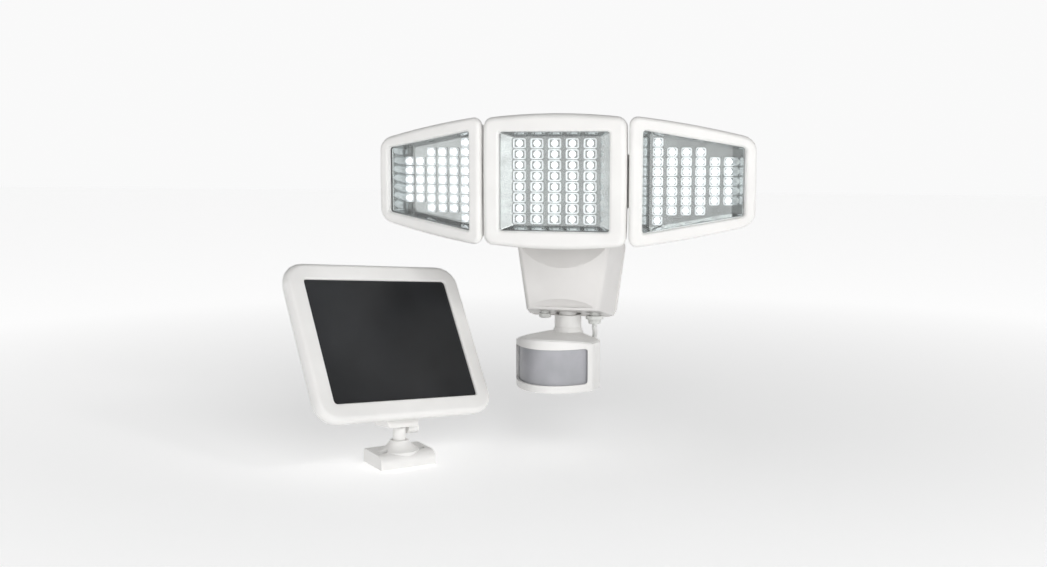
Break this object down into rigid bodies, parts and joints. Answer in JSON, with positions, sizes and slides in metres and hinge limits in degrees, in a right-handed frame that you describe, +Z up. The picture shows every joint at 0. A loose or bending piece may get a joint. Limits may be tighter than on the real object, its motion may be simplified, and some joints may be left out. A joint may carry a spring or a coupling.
{
  "type": "solar flood light",
  "caption": "Wall-mounted solar motion light with tapered battery body, folding LED side heads, swivelling motion sensor and a framed solar panel on a ball stem.",
  "frame": {"origin": "middle of the wall plate's back face, where the lamp meets the wall", "axes": "+X to the object's right seen from the front, +Y into the wall, +Z up; the lamp faces -Y"},
  "size_m": [0.3809, 0.1989, 0.2946],
  "materials": {
    "white_plastic": "moulded semi-gloss",
    "grey_plastic": "moulded satin",
    "black_plastic": "moulded satin",
    "clear_cover": "clear polycarbonate",
    "seal_rubber": "matt",
    "reflector": "vacuum metallised",
    "led_board": "solder mask",
    "green_board": "solder mask",
    "cell_wrap": "shrink wrap",
    "steel": "zinc plated",
    "sensor_lens": "frosted polyethylene",
    "lead_jacket": "satin",
    "panel_glass": "tempered glass over dark cells",
    "solar_cell": "cell sheet"
  },
  "bodies": {
    "lamp_body": {"wall_plate": "grey_plastic", "body_front_shell": "white_plastic", "body_rear_cover": "white_plastic", "body_screw_1": "steel", "body_screw_2": "steel", "body_screw_3": "steel", "body_screw_4": "steel", "battery_holder": "black_plastic", "battery_cell_1": "cell_wrap", "battery_cell_2": "cell_wrap", "battery_cell_3": "cell_wrap", "control_board": "green_board", "neck_post": "white_plastic", "solar_socket": "grey_plastic", "lead_gland": "grey_plastic", "tilt_bracket": "grey_plastic", "tilt_pin": "steel", "panel_base": "white_plastic"},
    "centre_head": {"tilt_yoke": "grey_plastic", "centre_bezel": "white_plastic", "centre_cover": "clear_cover", "centre_seal": "seal_rubber", "centre_reflector": "reflector", "centre_led_board": "led_board", "centre_rear_shell": "white_plastic", "left_wing_pin": "steel", "right_wing_pin": "steel"},
    "left_head": {"left_bezel": "white_plastic", "left_cover": "clear_cover", "left_seal": "seal_rubber", "left_reflector": "reflector", "left_led_board": "led_board", "left_rear_shell": "white_plastic"},
    "right_head": {"right_bezel": "white_plastic", "right_cover": "clear_cover", "right_seal": "seal_rubber", "right_reflector": "reflector", "right_led_board": "led_board", "right_rear_shell": "white_plastic"},
    "sensor_ball": {"swivel_ball": "black_plastic"},
    "sensor_head": {"sensor_front": "white_plastic", "sensor_rear": "white_plastic", "sensor_lens": "sensor_lens", "sensor_board": "green_board", "infrared_detector": "steel", "sensor_inlet": "grey_plastic", "sensor_lead": "lead_jacket"},
    "time_knob": {"time_knob": "black_plastic"},
    "range_knob": {"range_knob": "black_plastic"},
    "mode_switch": {"mode_switch": "black_plastic"},
    "stem": {"panel_stem": "white_plastic"},
    "panel": {"panel_bezel": "white_plastic", "panel_glass": "panel_glass", "solar_cells": "solar_cell", "panel_rear_cover": "white_plastic", "ball_clamp": "white_plastic", "clamp_screw": "steel", "panel_cable_gland": "grey_plastic"}
  },
  "joints": [
    {"name": "head_tilt", "type": "hinge", "parent": "lamp_body", "child": "centre_head", "pos_m": [0, -0.046, 0.052], "axis": [1, 0, 0], "range_deg": [-15, 25]},
    {"name": "left_fold", "type": "hinge", "parent": "centre_head", "child": "left_head", "pos_m": [-0.0565, -0.072, 0.085], "axis": [0, 0, -1], "range_deg": [-1.5, 18]},
    {"name": "right_fold", "type": "hinge", "parent": "centre_head", "child": "right_head", "pos_m": [0.0565, -0.072, 0.085], "axis": [0, 0, 1], "range_deg": [-1.5, 18]},
    {"name": "sensor_swivel", "type": "hinge", "parent": "lamp_body", "child": "sensor_ball", "pos_m": [0, -0.034, -0.052], "axis": [0, 0, 1], "range_deg": [-22, 40], "deforming": ["sensor_lead"]},
    {"name": "sensor_tilt", "type": "hinge", "parent": "sensor_ball", "child": "sensor_head", "pos_m": [0, -0.034, -0.052], "axis": [0.9781, -0.2079, 0], "range_deg": [-12, 12], "deforming": ["sensor_lead"]},
    {"name": "time_turn", "type": "hinge", "parent": "sensor_head", "child": "time_knob", "pos_m": [-0.01731, -0.0385, -0.094], "axis": [0, 0, -1], "range_deg": [-135, 135]},
    {"name": "range_turn", "type": "hinge", "parent": "sensor_head", "child": "range_knob", "pos_m": [-0.00166, -0.04183, -0.094], "axis": [0, 0, -1], "range_deg": [-135, 135]},
    {"name": "mode_slide", "type": "slide", "parent": "sensor_head", "child": "mode_switch", "axis": [0.9781, -0.2079, 0], "range_m": [-0.003, 0.003]},
    {"name": "panel_swivel", "type": "hinge", "parent": "lamp_body", "child": "stem", "pos_m": [-0.1285, -0.12, -0.1179], "axis": [0, 0, 1], "range_deg": [-8, 35]},
    {"name": "panel_tilt", "type": "hinge", "parent": "stem", "child": "panel", "pos_m": [-0.1285, -0.12, -0.1179], "axis": [0.5511, 0.8295, -0.0906], "range_deg": [-14, 18]}
  ]
}
